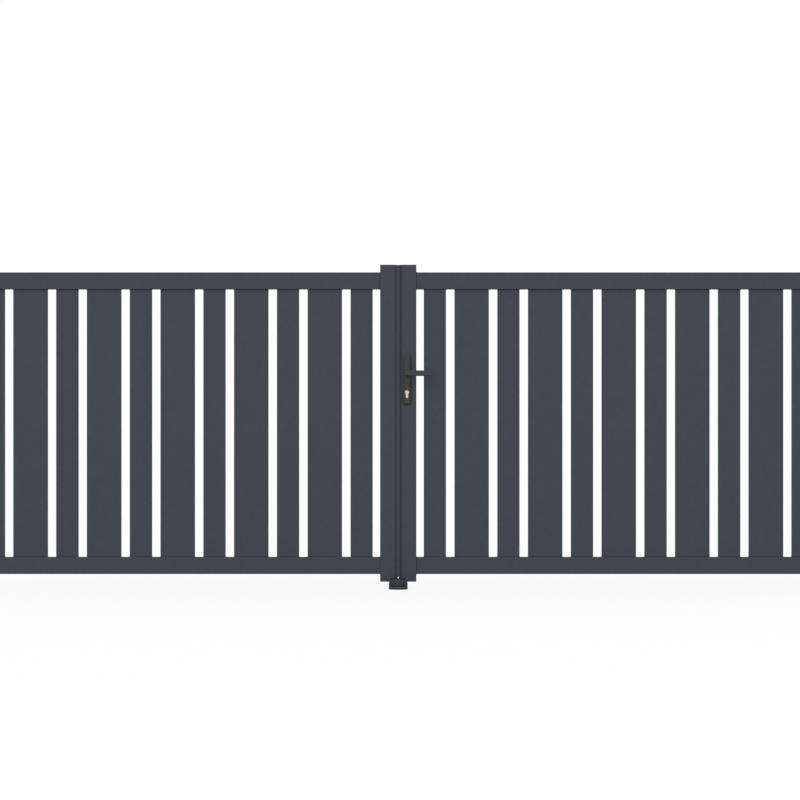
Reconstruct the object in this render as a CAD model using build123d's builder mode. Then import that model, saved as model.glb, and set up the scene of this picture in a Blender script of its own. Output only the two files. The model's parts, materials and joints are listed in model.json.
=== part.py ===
"""Double swing gate in powder-coated aluminium, with its two posts and the stop between the leaves.

Millimetres. X runs along the gate, Y from the street side to the inside, Z up.
The origin is the middle of the left post's foot, on the ground.
"""
import os
from math import atan, degrees

from build123d import *

os.makedirs("parts", exist_ok=True)

# Gateway
opening_width = 4000.0
ground_clearance = 30.0
leaf_height = 1400.0
hinge_gap = 54.0
meeting_gap = 10.0

# Posts
post_size = 120.0
post_wall = 3.0
post_corner = 4.0
post_rise = 40.0
post_cap_edge = 5.0
post_cap_peak = 9.0
post_cap_top = 24.0
base_plate_rim = 40.0
base_plate_thickness = 12.0
base_plate_corner = 10.0
base_plate_bevel = 2.0
anchor_hole_diameter = 14.0

# Frame of a leaf
stile_width = 75.0
stile_depth = 50.0
stile_wall = 2.0
profile_corner = 2.0
strip_rebate_width = 8.0
lock_rebate_width = 13.0
rebate_depth = 10.0
rail_height = 75.0
rail_depth = 40.0
rail_wall = 2.0
rail_inset = 33.5
end_cap_thickness = 3.0
end_cap_bevel = 1.0
plug_length = 12.0
plug_wall = 2.5
plug_clearance = 0.3

# Boards of a leaf, narrow and wide by turns
narrow_board_width = 98.0
wide_board_width = 152.0
narrow_board_count = 6
wide_board_count = 5
board_edge_gap = 33.0
board_thickness = 20.0
board_wall = 1.5
board_web = 1.2
narrow_board_chamber_count = 2
wide_board_chamber_count = 3
board_corner = 1.5
board_tenon = 20.0
tenon_clearance = 0.3

# Closing strip on the left leaf
strip_wall = 2.0
strip_clearance = 0.6
strip_bottom_gap = 21.0
strip_top_gap = 1.5

# Hinges
hinge_end_distance = 170.0
hinge_axis_setback = 10.0
hinge_plate_thickness = 5.0
hinge_plate_width = 36.0
hinge_plate_height = 110.0
hinge_plate_corner = 4.0
hinge_screw_radius = 2.75
hinge_screw_head_radius = 5.0
hinge_screw_inset = 12.0
hinge_screw_pitch = 22.0
hinge_screw_side = 9.5
screw_head_angle = 90.0
pin_radius = 8.0
pin_bevel = 1.5
pin_end_gap = 2.0
running_clearance = 0.08
lug_radius = 13.0
lug_thickness = 14.0
washer_thickness = 2.0
hinge_play = 0.3
knuckle_radius = 13.0
knuckle_height = 45.0
knuckle_web = 12.0
knuckle_top_wall = 5.0
knuckle_bevel = 1.5

# Lock and handles on the right leaf
lever_height = 951.0
lock_backset = 34.0
lock_pitch = 85.0
handle_plate_width = 40.0
handle_plate_height = 222.0
handle_plate_above_lever = 80.0
handle_plate_edge = 2.0
handle_plate_thickness = 11.0
handle_plate_bevel = 9.0
handle_plate_corner = 12.0
handle_plate_face_corner = 4.0
handle_screw_radius = 2.5
handle_screw_head_radius = 4.25
handle_screw_inset = 14.0
lever_length = 110.0
lever_bar_height = 24.0
lever_bar_thickness = 13.0
lever_bar_round = 4.0
lever_tip_round = 2.0
lever_reach = 60.0
lever_neck_radius = 10.0
lever_neck_gap = 0.5
spindle_size = 8.0
spindle_hole_radius = 6.5
spindle_socket_depth = 25.0
spindle_fit = 0.1
cylinder_radius = 8.5
cylinder_leg_width = 10.0
cylinder_height = 33.0
cylinder_proud = 2.5
cylinder_plug_radius = 6.5
cylinder_plug_proud = 0.6
keyway_width = 2.4
keyway_height = 9.0
keyway_depth = 14.0
cylinder_fit = 0.3
lock_case_depth = 60.0
lock_case_thickness = 16.0
lock_case_height = 165.0
lock_case_fit = 0.3
faceplate_width = 22.0
faceplate_height = 240.0
faceplate_thickness = 2.5
faceplate_screw_radius = 2.25
faceplate_screw_head_radius = 4.0
faceplate_screw_inset = 14.0
latch_thickness = 12.0
latch_height = 18.0
latch_proud = 4.5
bolt_thickness = 9.0
bolt_height = 30.0
bolt_proud = 0.8
strike_thickness = 2.0
strike_margin = 1.5

# Stop on the ground between the leaves
stop_width = 83.0
stop_front = 77.0
stop_back = 43.0
stop_base_thickness = 14.5
stop_base_bevel = 1.0
stop_groove_height = 3.0
stop_groove_depth = 1.5
stop_edge_height = 5.0
stop_height = 40.0
stop_draft_angle = 12.0
stop_round = 3.0
stop_clearance = 5.0
stop_hole_spacing = 40.0
stop_hole_setback = 19.0
stop_hole_diameter = 11.0
buffer_width = 66.0
buffer_height = 26.0
buffer_thickness = 3.0
buffer_corner = 5.0
buffer_rise = 5.5

# Places that follow from the sizes above
gate_middle = (post_size + opening_width) / 2
leaf_bottom = ground_clearance
leaf_top = ground_clearance + leaf_height
post_top = leaf_top + post_rise
leaf_outer = opening_width / 2 - hinge_gap
meeting_stile_middle = meeting_gap / 2 + stile_width / 2
hinge_stile_middle = leaf_outer - stile_width / 2
rail_start = meeting_gap / 2 + stile_width
rail_end = leaf_outer - stile_width
hinge_axis = opening_width / 2 - hinge_gap / 2
bottom_rail_low = leaf_bottom + rail_inset
top_rail_low = leaf_top - rail_inset - rail_height
lower_hinge_level = leaf_bottom + hinge_end_distance
upper_hinge_level = leaf_top - hinge_end_distance
lever_x = gate_middle + meeting_gap / 2 + lock_backset
cylinder_z = lever_height - lock_pitch
plate_middle_z = lever_height + handle_plate_above_lever - handle_plate_height / 2
lock_middle_z = lever_height - lock_pitch / 2
lock_edge = gate_middle + meeting_gap / 2
strike_edge = gate_middle - meeting_gap / 2
stop_face = -stile_depth / 2 - stop_clearance - buffer_thickness
lock_face = Plane(origin=(lock_edge, 0, lock_middle_z), x_dir=(0, -1, 0), z_dir=(-1, 0, 0))
strike_face = Plane(origin=(strike_edge, 0, lock_middle_z), x_dir=(0, 1, 0), z_dir=(1, 0, 0))

SIDES = {"left": -1, "right": 1}
HINGES = {"lower": lower_hinge_level, "upper": upper_hinge_level}
FRONT = -1
BACK = 1


def save(piece, name):
    """Name a finished piece and write it."""
    piece.part.label = name
    export_step(piece.part, f"parts/{name}.step")


def across(side, distance):
    """X at a distance from the gate's middle, towards the post of that side."""
    return gate_middle + side * distance


def level(x, y, z):
    """A level plane through a point."""
    return Plane(origin=(x, y, z))


def leaf_face(facing, x, z, distance):
    """An upright plane that faces the street or the inside, with its own Y pointing up."""
    return Plane(origin=(x, facing * distance, z), x_dir=(-facing, 0, 0), z_dir=(0, facing, 0))


def board_places():
    """Middle distance and width of each board, counted from the meeting stile."""
    count = narrow_board_count + wide_board_count
    boards_width = narrow_board_count * narrow_board_width + wide_board_count * wide_board_width
    gap = (rail_end - rail_start - 2 * board_edge_gap - boards_width) / (count - 1)
    places = []
    start = rail_start + board_edge_gap
    for index in range(count):
        width = wide_board_width if index % 2 else narrow_board_width
        places.append((start + width / 2, width))
        start += width + gap
    return places


def rebate_width(side):
    """Width of the rebate in a meeting stile. The one beside the lock is open, the other holds the strip."""
    return lock_rebate_width if side == SIDES["right"] else strip_rebate_width


def stile_outline(side, rebated):
    """Outer outline of a stile, with the rebate at its street-side meeting corner."""
    RectangleRounded(stile_width, stile_depth, profile_corner)
    if rebated:
        rebate = rebate_width(side)
        corner = (-side * (stile_width - rebate) / 2, -(stile_depth - rebate_depth) / 2)
        with Locations(corner):
            Rectangle(rebate, rebate_depth, mode=Mode.SUBTRACT)


def stile_cavity(side, rebated, clearance):
    """The room inside a stile, drawn in by a clearance."""
    width = stile_width - 2 * stile_wall
    depth = stile_depth - 2 * stile_wall
    Rectangle(width - 2 * clearance, depth - 2 * clearance)
    if rebated:
        rebate = rebate_width(side)
        corner = (-side * (width - rebate) / 2, -(depth - rebate_depth) / 2)
        with Locations(corner):
            Rectangle(rebate + 2 * clearance, rebate_depth + 2 * clearance, mode=Mode.SUBTRACT)


def cylinder_outline(clearance):
    """Section of a profile lock cylinder: a round barrel over a narrow leg with a round end."""
    leg_round = cylinder_leg_width / 2
    leg_reach = cylinder_height - cylinder_radius - leg_round
    Circle(cylinder_radius + clearance)
    with Locations((0, -leg_reach / 2)):
        Rectangle(cylinder_leg_width + 2 * clearance, leg_reach)
    with Locations((0, -leg_reach)):
        Circle(leg_round + clearance)


def make_post(name, x):
    """A square tube on its foot plate, closed by a shallow pyramid cap."""
    with BuildPart() as plate:
        with BuildSketch(level(x, 0, 0)):
            plate_size = post_size + 2 * base_plate_rim
            hole_spacing = post_size + base_plate_rim
            RectangleRounded(plate_size, plate_size, base_plate_corner)
            with GridLocations(hole_spacing, hole_spacing, 2, 2):
                Circle(anchor_hole_diameter / 2, mode=Mode.SUBTRACT)
        extrude(amount=base_plate_thickness)
        chamfer(plate.faces().sort_by(Axis.Z)[-1].outer_wire().edges(), base_plate_bevel)
    save(plate, f"{name}_post_base_plate")

    with BuildPart() as post:
        with BuildSketch(level(x, 0, base_plate_thickness)):
            RectangleRounded(post_size, post_size, post_corner)
            Rectangle(post_size - 2 * post_wall, post_size - 2 * post_wall, mode=Mode.SUBTRACT)
        extrude(amount=post_top - base_plate_thickness)
    save(post, f"{name}_post")

    with BuildPart() as cap:
        with BuildSketch(level(x, 0, post_top)):
            RectangleRounded(post_size, post_size, post_corner)
        extrude(amount=post_cap_edge)
        pyramid_size = post_size - 2 * post_corner
        pyramid_slope = degrees(atan((pyramid_size - post_cap_top) / 2 / post_cap_peak))
        with BuildSketch(level(x, 0, post_top + post_cap_edge)):
            Rectangle(pyramid_size, pyramid_size)
        extrude(amount=post_cap_peak, taper=pyramid_slope)
        plug_size = post_size - 2 * post_wall - 2 * plug_clearance
        with BuildSketch(level(x, 0, post_top - plug_length)):
            Rectangle(plug_size, plug_size)
        extrude(amount=plug_length)
        with BuildSketch(level(x, 0, post_top - plug_length)):
            Rectangle(plug_size - 2 * plug_wall, plug_size - 2 * plug_wall)
        extrude(amount=plug_length + post_cap_edge - plug_wall, mode=Mode.SUBTRACT)
    save(cap, f"{name}_post_cap")


def drill_screw_holes(face, places, radius, head_radius, depth):
    """Countersunk screw holes at places on a face."""
    with Locations(face):
        with Locations(*places):
            CounterSinkHole(radius, head_radius, depth, screw_head_angle)


def hinge_screw_places(up, upper_row):
    """Four places on a hinge plate, in its own X and Y, with the upper two in a row of their own."""
    far = hinge_plate_height / 2 - hinge_screw_inset
    near = far - hinge_screw_pitch
    return [(upper_row, up * far), (upper_row, up * near), (0, -up * near), (0, -up * far)]


def make_hinge_bracket(name, side, height):
    """Post half of a hinge: a plate on the post, a lug and the upright pin."""
    axis_x = across(side, hinge_axis)
    with BuildPart() as bracket:
        post_face = Plane(
            origin=(across(side, opening_width / 2), hinge_axis_setback, height),
            x_dir=(0, 1, 0),
            z_dir=(-side, 0, 0),
        )
        with BuildSketch(post_face):
            RectangleRounded(hinge_plate_width, hinge_plate_height, hinge_plate_corner)
        extrude(amount=hinge_plate_thickness)
        drill_screw_holes(
            post_face.offset(hinge_plate_thickness),
            hinge_screw_places(-side, 0),
            hinge_screw_radius,
            hinge_screw_head_radius,
            hinge_plate_thickness,
        )
        with BuildSketch(level(axis_x, hinge_axis_setback, height - lug_thickness)):
            Circle(lug_radius)
            with Locations((side * hinge_gap / 4, 0)):
                Rectangle(hinge_gap / 2, 2 * lug_radius)
        extrude(amount=lug_thickness)
        with BuildSketch(level(axis_x, hinge_axis_setback, height)):
            Circle(pin_radius)
        pin_height = washer_thickness + hinge_play + knuckle_height - knuckle_top_wall - pin_end_gap
        extrude(amount=pin_height)
        chamfer(bracket.edges().sort_by(Axis.Z).filter_by(GeomType.CIRCLE)[-1], pin_bevel)
    save(bracket, name)


def make_hinge_washers():
    """Thrust washers that the leaves turn on, one on each lug."""
    with BuildPart() as washers:
        for side in SIDES.values():
            for height in HINGES.values():
                with BuildSketch(level(across(side, hinge_axis), hinge_axis_setback, height)):
                    Circle(lug_radius)
                    Circle(pin_radius + running_clearance, mode=Mode.SUBTRACT)
                extrude(amount=washer_thickness)
    save(washers, "hinge_washers")


def make_hinge_knuckle(name, side, height):
    """Leaf half of a hinge: a plate on the stile and a barrel, closed on top, over the pin."""
    axis_x = across(side, hinge_axis)
    barrel_low = height + washer_thickness + hinge_play
    with BuildPart() as knuckle:
        stile_face = Plane(
            origin=(across(side, leaf_outer), hinge_axis_setback / 2, height),
            x_dir=(0, 1, 0),
            z_dir=(side, 0, 0),
        )
        with BuildSketch(stile_face):
            RectangleRounded(hinge_plate_width, hinge_plate_height, hinge_plate_corner)
        extrude(amount=hinge_plate_thickness)
        drill_screw_holes(
            stile_face.offset(hinge_plate_thickness),
            hinge_screw_places(side, -hinge_screw_side),
            hinge_screw_radius,
            hinge_screw_head_radius,
            hinge_plate_thickness,
        )
        with BuildSketch(level(axis_x, hinge_axis_setback, barrel_low)):
            Circle(knuckle_radius)
            with Locations((-side * hinge_gap / 4, 0)):
                Rectangle(hinge_gap / 2, knuckle_web)
        extrude(amount=knuckle_height)
        barrel_rim = knuckle.edges().filter_by(GeomType.CIRCLE).sort_by(Axis.Z)[-1]
        chamfer(barrel_rim, knuckle_bevel)
        with BuildSketch(level(axis_x, hinge_axis_setback, barrel_low)):
            Circle(pin_radius + running_clearance)
        extrude(amount=knuckle_height - knuckle_top_wall, mode=Mode.SUBTRACT)
    save(knuckle, name)


def make_stile(name, side, middle, rebated, openings=()):
    """A stile, a hollow extrusion that runs past both rails, with openings cut into its walls."""
    x = across(side, middle)
    length = leaf_height - 2 * end_cap_thickness
    with BuildPart() as stile:
        with BuildSketch(level(x, 0, leaf_bottom + end_cap_thickness)):
            stile_outline(side, rebated)
        extrude(amount=length)
        with BuildSketch(level(x, 0, leaf_bottom + end_cap_thickness)):
            stile_cavity(side, rebated, 0)
        extrude(amount=length, mode=Mode.SUBTRACT)
        for face, outline, depth in openings:
            with BuildSketch(face):
                outline()
            extrude(amount=-depth, mode=Mode.SUBTRACT)
    save(stile, name)


def make_stile_caps(name, side):
    """End caps of a leaf's two stiles, each with a plug that goes into the extrusion."""
    with BuildPart() as caps:
        for middle, rebated in ((meeting_stile_middle, True), (hinge_stile_middle, False)):
            x = across(side, middle)
            for cap_low, plug_low, outside in (
                (leaf_bottom, leaf_bottom + end_cap_thickness, 0),
                (leaf_top - end_cap_thickness, leaf_top - end_cap_thickness - plug_length, -1),
            ):
                with BuildSketch(level(x, 0, cap_low)):
                    stile_outline(side, rebated)
                extrude(amount=end_cap_thickness)
                outer_face = caps.faces(Select.LAST).sort_by(Axis.Z)[outside]
                chamfer(outer_face.edges(), end_cap_bevel)
                with BuildSketch(level(x, 0, plug_low)):
                    stile_cavity(side, rebated, plug_clearance)
                extrude(amount=plug_length)
                with BuildSketch(level(x, 0, plug_low)):
                    stile_cavity(side, rebated, plug_clearance + plug_wall)
                extrude(amount=plug_length, mode=Mode.SUBTRACT)
    save(caps, name)


def make_rail(name, side, low, slots_on_top):
    """A hollow rail between the stiles, with a slot in its inner wall for each board."""
    face = Plane(
        origin=(across(side, rail_start), 0, low + rail_height / 2),
        x_dir=(0, 1, 0),
        z_dir=(side, 0, 0),
    )
    slot_low = low + rail_height - rail_wall if slots_on_top else low
    with BuildPart() as rail:
        with BuildSketch(face):
            RectangleRounded(rail_depth, rail_height, profile_corner)
            Rectangle(rail_depth - 2 * rail_wall, rail_height - 2 * rail_wall, mode=Mode.SUBTRACT)
        extrude(amount=rail_end - rail_start)
        with BuildSketch(level(0, 0, slot_low)):
            for middle, width in board_places():
                with Locations((across(side, middle), 0)):
                    Rectangle(width + 2 * tenon_clearance, board_thickness + 2 * tenon_clearance)
        extrude(amount=rail_wall, mode=Mode.SUBTRACT)
    save(rail, name)


def make_boards(name, side, board_width, chambers):
    """All boards of one width in a leaf: chambered planks whose ends stand inside the rails."""
    low = bottom_rail_low + rail_height - board_tenon
    high = top_rail_low + board_tenon
    chamber_width = (board_width - 2 * board_wall - (chambers - 1) * board_web) / chambers
    chamber_depth = board_thickness - 2 * board_wall
    with BuildPart() as boards:
        with BuildSketch(level(0, 0, low)):
            for middle, width in board_places():
                if width == board_width:
                    with Locations((across(side, middle), 0)):
                        RectangleRounded(width, board_thickness, board_corner)
                        with GridLocations(chamber_width + board_web, 0, chambers, 1):
                            Rectangle(chamber_width, chamber_depth, mode=Mode.SUBTRACT)
        extrude(amount=high - low)
    save(boards, name)


def make_closing_strip():
    """Stepped extrusion in the left stile's rebate that covers the gap between the leaves."""
    stem = strike_edge - strip_wall
    foot = strike_edge - strip_rebate_width
    head_end = lock_edge - strip_clearance
    front = -stile_depth / 2
    floor = front + rebate_depth
    low = leaf_bottom + strip_bottom_gap
    with BuildPart() as strip:
        with BuildSketch(level(0, 0, low)):
            with BuildLine():
                Polyline(
                    (foot, floor),
                    (foot, floor - strip_wall),
                    (stem, floor - strip_wall),
                    (stem, front),
                    (head_end, front),
                    (head_end, front + strip_wall),
                    (strike_edge, front + strip_wall),
                    (strike_edge, floor),
                    close=True,
                )
            make_face()
        extrude(amount=leaf_top - strip_top_gap - low)
    save(strip, "closing_strip")


def spindle_and_cylinder_outline():
    """Holes that the spindle and the cylinder pass through, drawn round the lever's axis."""
    Circle(spindle_hole_radius)
    with Locations((0, -lock_pitch)):
        cylinder_outline(cylinder_fit)


def lock_case_outline():
    """Slot in the stile's edge that the lock case goes in through."""
    Rectangle(lock_case_thickness + 2 * lock_case_fit, lock_case_height + 2 * lock_case_fit)


def strike_outline():
    """Holes that the latch and the bolt shoot into."""
    with Locations((0, lever_height - lock_middle_z)):
        Rectangle(latch_thickness + 2 * strike_margin, latch_height + 2 * strike_margin)
    with Locations((0, cylinder_z - lock_middle_z)):
        Rectangle(bolt_thickness + 2 * strike_margin, bolt_height + 2 * strike_margin)


def drill_faceplate(face, thickness):
    """The screw holes at the two ends of a faceplate."""
    end = faceplate_height / 2 - faceplate_screw_inset
    drill_screw_holes(
        face.offset(thickness), [(0, end), (0, -end)],
        faceplate_screw_radius, faceplate_screw_head_radius, thickness,
    )


def make_meeting_stiles():
    """The left stile, which the lock shoots into, and the right one, which holds it."""
    make_stile(
        "left_meeting_stile", SIDES["left"], meeting_stile_middle, True,
        [(strike_face, strike_outline, stile_wall)],
    )
    lever_face = leaf_face(FRONT, lever_x, lever_height, stile_depth / 2)
    make_stile(
        "right_meeting_stile", SIDES["right"], meeting_stile_middle, True,
        [
            (lever_face, spindle_and_cylinder_outline, stile_depth),
            (lock_face, lock_case_outline, stile_wall),
        ],
    )


def make_strike_plate():
    """Plate on the left stile's edge with a hole for the latch and one for the bolt."""
    with BuildPart() as strike:
        with BuildSketch(strike_face):
            SlotOverall(faceplate_height, faceplate_width, rotation=90)
        extrude(amount=strike_thickness)
        drill_faceplate(strike_face, strike_thickness)
        with BuildSketch(strike_face):
            strike_outline()
        extrude(amount=strike_thickness, mode=Mode.SUBTRACT)
    save(strike, "strike_plate")


def make_lock():
    """Mortise lock: a case inside the stile, a faceplate on its edge, a latch and a drawn bolt."""
    with BuildPart() as lock:
        with BuildSketch(lock_face):
            SlotOverall(faceplate_height, faceplate_width, rotation=90)
        extrude(amount=faceplate_thickness)
        drill_faceplate(lock_face, faceplate_thickness)
        with BuildSketch(lock_face):
            Rectangle(lock_case_thickness, lock_case_height)
        extrude(amount=-lock_case_depth)
        with BuildSketch(leaf_face(FRONT, lever_x, lever_height, lock_case_thickness / 2)):
            spindle_and_cylinder_outline()
        extrude(amount=-lock_case_thickness, mode=Mode.SUBTRACT)
        latch_section = level(lock_edge - faceplate_thickness, 0, lever_height - latch_height / 2)
        with BuildSketch(latch_section):
            with BuildLine():
                Polyline(
                    (0, -latch_thickness / 2),
                    (0, latch_thickness / 2),
                    (-latch_proud, -latch_thickness / 6),
                    (-latch_proud, -latch_thickness / 2),
                    close=True,
                )
            make_face()
        extrude(amount=latch_height)
        bolt_end = Plane(
            origin=(lock_edge - faceplate_thickness, 0, cylinder_z),
            x_dir=(0, 1, 0),
            z_dir=(-1, 0, 0),
        )
        with BuildSketch(bolt_end):
            Rectangle(bolt_thickness, bolt_height)
        extrude(amount=bolt_proud)
    save(lock, "lock_case")


def make_key_cylinder():
    """Brass profile cylinder through the stile, with a plug and a keyway at each end."""
    reach = stile_depth / 2 + handle_plate_thickness + cylinder_proud
    with BuildPart() as cylinder:
        with BuildSketch(leaf_face(FRONT, lever_x, cylinder_z, 0)):
            cylinder_outline(0)
        extrude(amount=reach, both=True)
        for facing in (FRONT, BACK):
            with BuildSketch(leaf_face(facing, lever_x, cylinder_z, reach)):
                Circle(cylinder_plug_radius)
            extrude(amount=cylinder_plug_proud)
            with BuildSketch(leaf_face(facing, lever_x, cylinder_z, reach + cylinder_plug_proud)):
                Rectangle(keyway_width, keyway_height)
            extrude(amount=-keyway_depth, mode=Mode.SUBTRACT)
    save(cylinder, "key_cylinder")


def make_handle_plate(name, facing, screwed):
    """Long plate with bevelled edges round the lever's neck and the cylinder."""
    face_width = handle_plate_width - 2 * handle_plate_bevel
    face_height = handle_plate_height - 2 * handle_plate_bevel
    seat = leaf_face(facing, lever_x, plate_middle_z, stile_depth / 2)
    front = seat.offset(handle_plate_thickness)
    with BuildPart() as plate:
        with BuildSketch(seat):
            RectangleRounded(handle_plate_width, handle_plate_height, handle_plate_corner)
        extrude(amount=handle_plate_edge)
        with BuildSketch(seat.offset(handle_plate_edge)):
            RectangleRounded(handle_plate_width, handle_plate_height, handle_plate_corner)
        with BuildSketch(front):
            RectangleRounded(face_width, face_height, handle_plate_face_corner)
        loft(ruled=True)
        with BuildSketch(leaf_face(facing, lever_x, lever_height, stile_depth / 2)):
            Circle(lever_neck_radius + running_clearance)
            with Locations((0, -lock_pitch)):
                cylinder_outline(cylinder_fit)
        extrude(amount=handle_plate_thickness, mode=Mode.SUBTRACT)
        if screwed:
            end = handle_plate_height / 2 - handle_screw_inset
            drill_screw_holes(
                front, [(0, end), (0, -end)],
                handle_screw_radius, handle_screw_head_radius, handle_plate_thickness,
            )
    save(plate, name)


def make_lever(name, facing):
    """Straight bar lever on a round neck, with a square socket for the spindle."""
    with BuildPart() as lever:
        bar_low = stile_depth / 2 + lever_reach - lever_bar_thickness
        with BuildSketch(leaf_face(facing, lever_x, lever_height, bar_low)):
            Circle(lever_bar_height / 2)
            with Locations((-facing * lever_length / 2, 0)):
                Rectangle(lever_length, lever_bar_height)
        extrude(amount=lever_bar_thickness)
        tip = lever.faces().sort_by(Axis.X)[-1]
        fillet(tip.edges().filter_by(Axis.Y), lever_tip_round)
        bar_faces = lever.faces().filter_by(Axis.Y)
        fillet([edge for face in bar_faces for edge in face.outer_wire().edges()], lever_bar_round)
        with BuildSketch(leaf_face(facing, lever_x, lever_height, stile_depth / 2 + lever_neck_gap)):
            Circle(lever_neck_radius)
        extrude(amount=lever_reach - lever_neck_gap - lever_bar_thickness / 2)
        with BuildSketch(leaf_face(facing, lever_x, lever_height, stile_depth / 2 + lever_neck_gap)):
            Rectangle(spindle_size + spindle_fit, spindle_size + spindle_fit)
        extrude(amount=spindle_socket_depth, mode=Mode.SUBTRACT)
    save(lever, name)


def make_spindle():
    """Square bar that joins the two levers through the lock."""
    reach = stile_depth / 2 + lever_neck_gap + spindle_socket_depth - spindle_fit
    with BuildPart() as spindle:
        with BuildSketch(leaf_face(FRONT, lever_x, lever_height, 0)):
            Rectangle(spindle_size, spindle_size)
        extrude(amount=reach, both=True)
    save(spindle, "lever_spindle")


def stop_outline(inset):
    """Plan of the stop, long with round ends, drawn in by an inset. The flat face is its X axis."""
    with Locations((0, (stop_back - stop_front) / 2)):
        SlotOverall(stop_front + stop_back - 2 * inset, stop_width - 2 * inset, rotation=90)


def make_floor_stop():
    """Cast stop: a long round-ended foot with two bolt holes, a groove, and a body with a flat face."""
    groove_low = stop_base_thickness
    body_low = groove_low + stop_groove_height
    draft_low = body_low + stop_edge_height
    with BuildPart() as stop:
        with BuildSketch(level(gate_middle, stop_face, 0)):
            stop_outline(0)
            with Locations((0, stop_hole_setback)):
                with GridLocations(stop_hole_spacing, 0, 2, 1):
                    Circle(stop_hole_diameter / 2, mode=Mode.SUBTRACT)
        extrude(amount=stop_base_thickness)
        chamfer(stop.faces().sort_by(Axis.Z)[-1].outer_wire().edges(), stop_base_bevel)
        with BuildSketch(level(gate_middle, stop_face, groove_low)):
            stop_outline(stop_groove_depth)
        extrude(amount=stop_groove_height)
        with BuildSketch(level(gate_middle, stop_face, body_low)):
            stop_outline(0)
        extrude(amount=stop_edge_height)
        with BuildSketch(level(gate_middle, stop_face, draft_low)):
            stop_outline(0)
        extrude(amount=stop_height - draft_low, taper=stop_draft_angle)
        with BuildSketch(level(gate_middle, stop_face, stop_base_thickness)):
            with Locations((0, stop_back / 2)):
                Rectangle(stop_width, stop_back)
        extrude(amount=stop_height - stop_base_thickness, mode=Mode.SUBTRACT)
        fillet(stop.faces().sort_by(Axis.Z)[-1].edges(), stop_round)
    save(stop, "floor_stop")


def make_stop_buffer():
    """Rubber pad on the stop's flat face, which stands a little higher than the casting."""
    middle_z = stop_height + buffer_rise - buffer_height / 2
    seat = Plane(origin=(gate_middle, stop_face, middle_z), x_dir=(-1, 0, 0), z_dir=(0, 1, 0))
    with BuildPart() as buffer:
        with BuildSketch(seat):
            RectangleRounded(buffer_width, buffer_height, buffer_corner)
        extrude(amount=buffer_thickness)
    save(buffer, "stop_buffer")


make_post("left", 0)
make_post("right", post_size + opening_width)
make_hinge_washers()
make_floor_stop()
make_stop_buffer()

for side_name, side in SIDES.items():
    for hinge_name, height in HINGES.items():
        make_hinge_bracket(f"{side_name}_{hinge_name}_hinge_bracket", side, height)
        make_hinge_knuckle(f"{side_name}_{hinge_name}_hinge_knuckle", side, height)
    make_stile(f"{side_name}_hinge_stile", side, hinge_stile_middle, False)
    make_stile_caps(f"{side_name}_stile_caps", side)
    make_rail(f"{side_name}_top_rail", side, top_rail_low, False)
    make_rail(f"{side_name}_bottom_rail", side, bottom_rail_low, True)
    make_boards(f"{side_name}_wide_boards", side, wide_board_width, wide_board_chamber_count)
    make_boards(f"{side_name}_narrow_boards", side, narrow_board_width, narrow_board_chamber_count)

make_meeting_stiles()
make_strike_plate()
make_closing_strip()
make_lock()
make_key_cylinder()
make_spindle()
for face_name, facing, screwed in (("front", FRONT, False), ("back", BACK, True)):
    make_handle_plate(f"{face_name}_handle_plate", facing, screwed)
    make_lever(f"{face_name}_lever", facing)
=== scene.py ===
# %% [markdown]
# # A double gate in anthracite powder coat
#
# The gate is made of hollow aluminium extrusions, so nearly all of its shapes are plain profiles that the
# CAD model already holds at their real size. What is left for Blender is what the eye checks first: the
# finish of each metal, plastic and rubber, and the small turned, moulded and welded things that hold the
# gate together. This lesson loads the CAD model, lights it like a product picture, gives every piece its
# finish, and then works out screws, nuts, threads, seals and weld beads as surfaces with numpy.

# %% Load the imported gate
import json

import bmesh
import bpy
import numpy as np
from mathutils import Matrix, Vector


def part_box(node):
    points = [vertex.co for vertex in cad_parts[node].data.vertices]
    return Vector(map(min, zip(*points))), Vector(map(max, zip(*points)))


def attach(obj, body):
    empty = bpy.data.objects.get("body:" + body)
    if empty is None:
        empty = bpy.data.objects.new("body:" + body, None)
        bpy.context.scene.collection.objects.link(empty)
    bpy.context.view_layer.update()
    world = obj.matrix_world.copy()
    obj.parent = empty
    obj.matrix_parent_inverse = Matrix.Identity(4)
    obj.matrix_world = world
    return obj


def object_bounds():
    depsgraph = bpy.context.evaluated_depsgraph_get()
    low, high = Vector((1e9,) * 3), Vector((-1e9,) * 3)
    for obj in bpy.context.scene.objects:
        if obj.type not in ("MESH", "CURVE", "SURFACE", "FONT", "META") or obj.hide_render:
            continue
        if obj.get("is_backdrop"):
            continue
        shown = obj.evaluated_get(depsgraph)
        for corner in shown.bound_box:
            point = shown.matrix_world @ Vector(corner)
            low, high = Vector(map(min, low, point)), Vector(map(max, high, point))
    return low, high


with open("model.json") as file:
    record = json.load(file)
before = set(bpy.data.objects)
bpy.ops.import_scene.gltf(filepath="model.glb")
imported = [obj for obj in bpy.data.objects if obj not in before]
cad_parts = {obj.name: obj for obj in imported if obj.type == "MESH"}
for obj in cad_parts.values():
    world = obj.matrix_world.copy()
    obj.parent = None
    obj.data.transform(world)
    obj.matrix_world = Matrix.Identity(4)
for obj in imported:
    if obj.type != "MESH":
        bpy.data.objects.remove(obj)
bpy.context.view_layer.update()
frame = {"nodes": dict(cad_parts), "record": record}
MM = 0.001

# %% [markdown]
# ## Places that the other cells need
#
# A piece that Blender adds has to sit on what carries it. The CAD boxes give those places, so a new gate
# width or lever height moves the screws too. The arrays below hold metres.

# %% Corners of the CAD nodes
def corners(node):
    """Lowest and highest corner of a CAD node, as two arrays in metres."""
    low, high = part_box(node)
    return np.array(low), np.array(high)


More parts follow.
